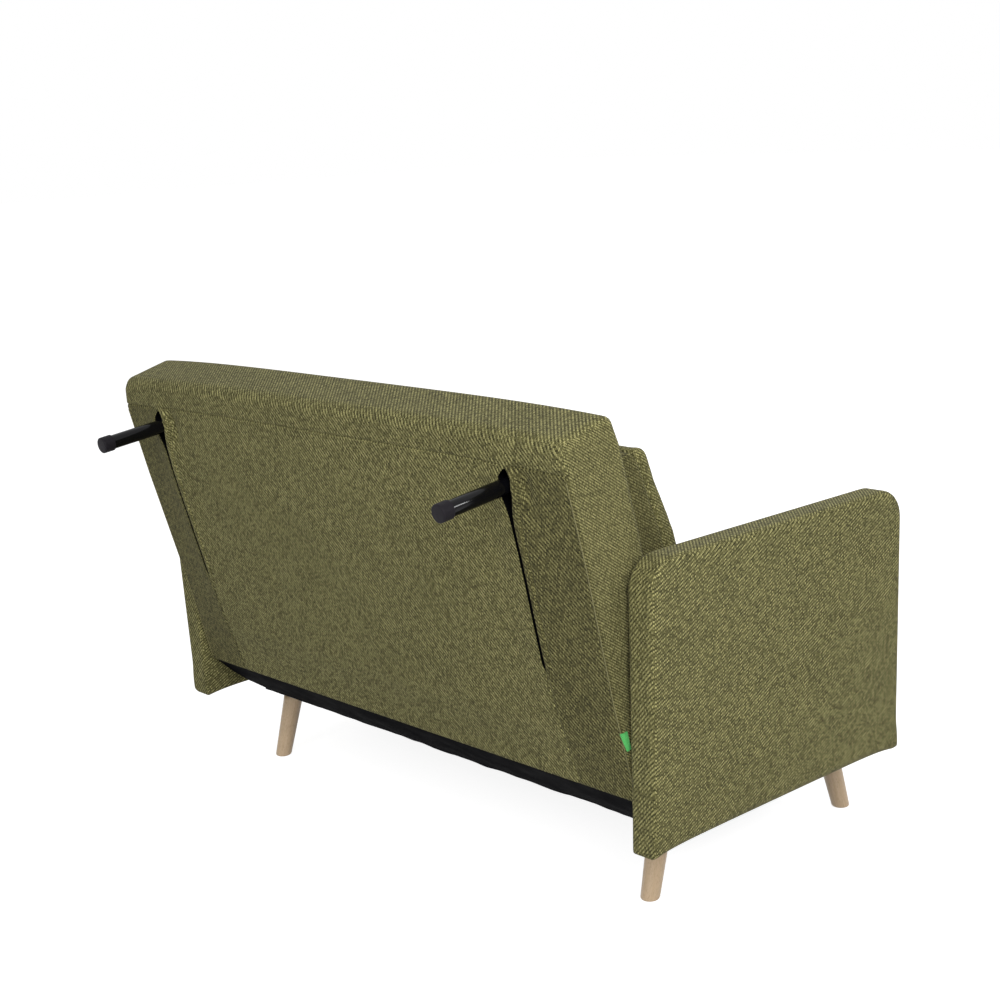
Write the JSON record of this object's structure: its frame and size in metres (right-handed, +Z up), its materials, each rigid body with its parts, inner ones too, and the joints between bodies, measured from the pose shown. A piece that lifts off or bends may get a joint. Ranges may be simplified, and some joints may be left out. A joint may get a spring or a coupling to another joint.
{
  "type": "sofa bed",
  "caption": "Fold-out sofa bed: upholstered arms, a back that lies flat onto fold-out tube legs, a seat that turns over its front edge, loose back cushions and splayed wooden legs.",
  "frame": {"origin": "on the floor, under the middle of the sofa's outline in its sofa position", "axes": "+X along the width to the left of someone seated, +Y to the rear, +Z up; the seat faces -Y"},
  "size_m": [1.4168, 1.0102, 0.9008],
  "materials": {
    "sofa_fabric": "olive green melange twill",
    "black_lining": "black non-woven lining",
    "leg_wood": "clear matt varnished beech",
    "frame_wood": "rough sawn",
    "black_steel": "glossy black powder coat",
    "black_plastic": "matt moulded",
    "black_rubber": "matt",
    "bright_steel": "zinc plated"
  },
  "bodies": {
    "base": {"arm_board_left": "frame_wood", "arm_board_right": "frame_wood", "arm_bolts": "bright_steel", "arm_cover_left": "sofa_fabric", "arm_cover_right": "sofa_fabric", "arm_spacers": "frame_wood", "back_hinge_base_plates": "bright_steel", "back_hinge_pins": "bright_steel", "base_corner_blocks": "frame_wood", "base_front_cover": "sofa_fabric", "base_front_rail": "frame_wood", "base_ledgers": "frame_wood", "base_left_rail": "frame_wood", "base_lining": "black_lining", "base_rear_rail": "frame_wood", "base_right_rail": "frame_wood", "base_slats": "frame_wood", "hinge_screws": "bright_steel", "leg_bolts": "bright_steel", "leg_front_left": "leg_wood", "leg_front_right": "leg_wood", "leg_plates": "bright_steel", "leg_rear_left": "leg_wood", "leg_rear_right": "leg_wood", "lower_seat_pad": "sofa_fabric", "seat_hinge_base_plates": "bright_steel", "seat_hinge_pins": "bright_steel"},
    "backrest": {"back_pad": "sofa_fabric", "back_posts": "black_steel", "back_cross_tubes": "black_steel", "back_hinge_plates": "bright_steel", "head_leg_bracket_left": "bright_steel", "head_leg_pin_left": "bright_steel", "head_leg_washers_left": "bright_steel", "head_leg_bracket_right": "bright_steel", "head_leg_pin_right": "bright_steel", "head_leg_washers_right": "bright_steel"},
    "head_leg_left": {"head_leg_tube_left": "black_steel", "head_leg_cap_left": "black_plastic"},
    "head_leg_right": {"head_leg_tube_right": "black_steel", "head_leg_cap_right": "black_plastic"},
    "upper_seat": {"upper_seat_pad": "sofa_fabric", "seat_side_tubes": "black_steel", "seat_cross_tubes": "black_steel", "seat_hinge_plates": "bright_steel", "foot_bail_pins": "bright_steel"},
    "foot_bail": {"foot_bail_arms": "black_steel", "foot_bail_tube": "black_steel", "foot_bail_sleeves": "black_rubber"},
    "cushion_left": {"back_cushion_left": "sofa_fabric"},
    "cushion_right": {"back_cushion_right": "sofa_fabric"}
  },
  "joints": [
    {"name": "back_fold", "type": "hinge", "parent": "base", "child": "backrest", "pos_m": [0, 0.0881, 0.262], "axis": [-1, 0, 0], "range_deg": [0, 74]},
    {"name": "seat_unfold", "type": "hinge", "parent": "base", "child": "upper_seat", "pos_m": [0, -0.4961, 0.262], "axis": [1, 0, 0], "range_deg": [0, 180]},
    {"name": "foot_bail_swing", "type": "hinge", "parent": "upper_seat", "child": "foot_bail", "pos_m": [0, -0.2195, 0.32575], "axis": [1, 0, 0], "range_deg": [0, 123.5]},
    {"name": "head_leg_left_fold", "type": "hinge", "parent": "backrest", "child": "head_leg_left", "pos_m": [0.507, 0.30085, 0.79496], "axis": [-1, 0, 0], "range_deg": [0, 97]},
    {"name": "head_leg_right_fold", "type": "hinge", "parent": "backrest", "child": "head_leg_right", "pos_m": [-0.507, 0.30085, 0.79496], "axis": [-1, 0, 0], "range_deg": [0, 97]},
    {"name": "cushion_left_lift", "type": "slide", "parent": "backrest", "child": "cushion_left", "axis": [0, 0.2419, 0.9703], "range_m": [0, 0.67]},
    {"name": "cushion_right_lift", "type": "slide", "parent": "backrest", "child": "cushion_right", "axis": [0, 0.2419, 0.9703], "range_m": [0, 0.67]}
  ]
}
